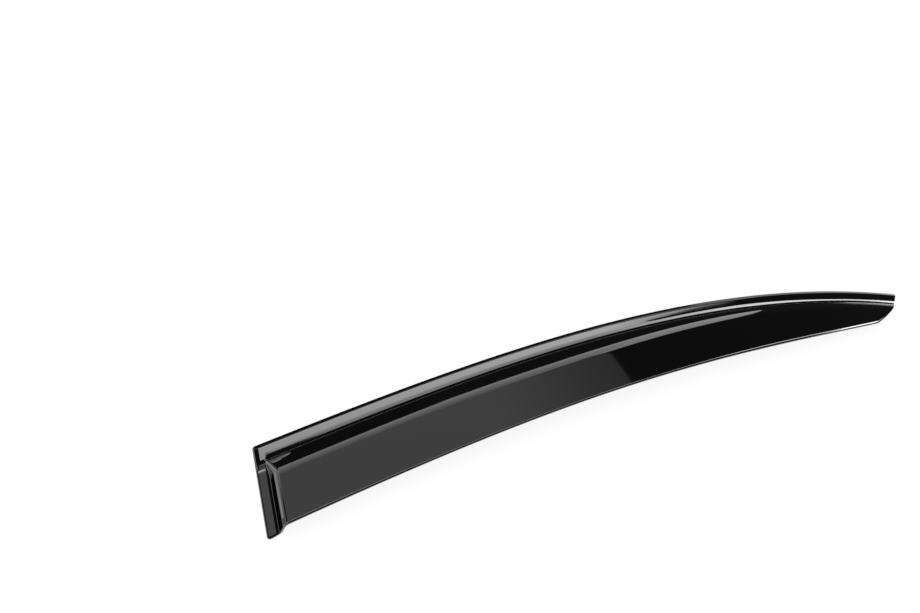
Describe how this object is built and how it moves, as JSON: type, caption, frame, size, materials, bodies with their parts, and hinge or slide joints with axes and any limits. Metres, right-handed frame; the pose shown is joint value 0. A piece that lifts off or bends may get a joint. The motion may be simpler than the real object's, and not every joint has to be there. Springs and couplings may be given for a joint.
{
  "type": "window rain deflector",
  "caption": "Gloss black acrylic deflector for a rear side window, with a taped top flange, a raised curved blade that keeps rain out of the open window, and a rounded point.",
  "frame": {"origin": "under the middle of the part's box, on the plane that it rests on, which is also the plane of the end tape's face", "axes": "+X along the door from the square end to the point, +Y up the door, +Z away from the glass"},
  "size_m": [0.742, 0.119, 0.0227],
  "materials": {
    "smoked_acrylic": "polished dark moulded acrylic",
    "foam_tape": "matt closed-cell foam",
    "release_liner": "satin film"
  },
  "bodies": {
    "root": {"deflector_shell": "smoked_acrylic", "top_foam_tape": "foam_tape", "end_foam_tape": "foam_tape", "top_tape_liner": "release_liner", "end_tape_liner": "release_liner"}
  },
  "joints": []
}
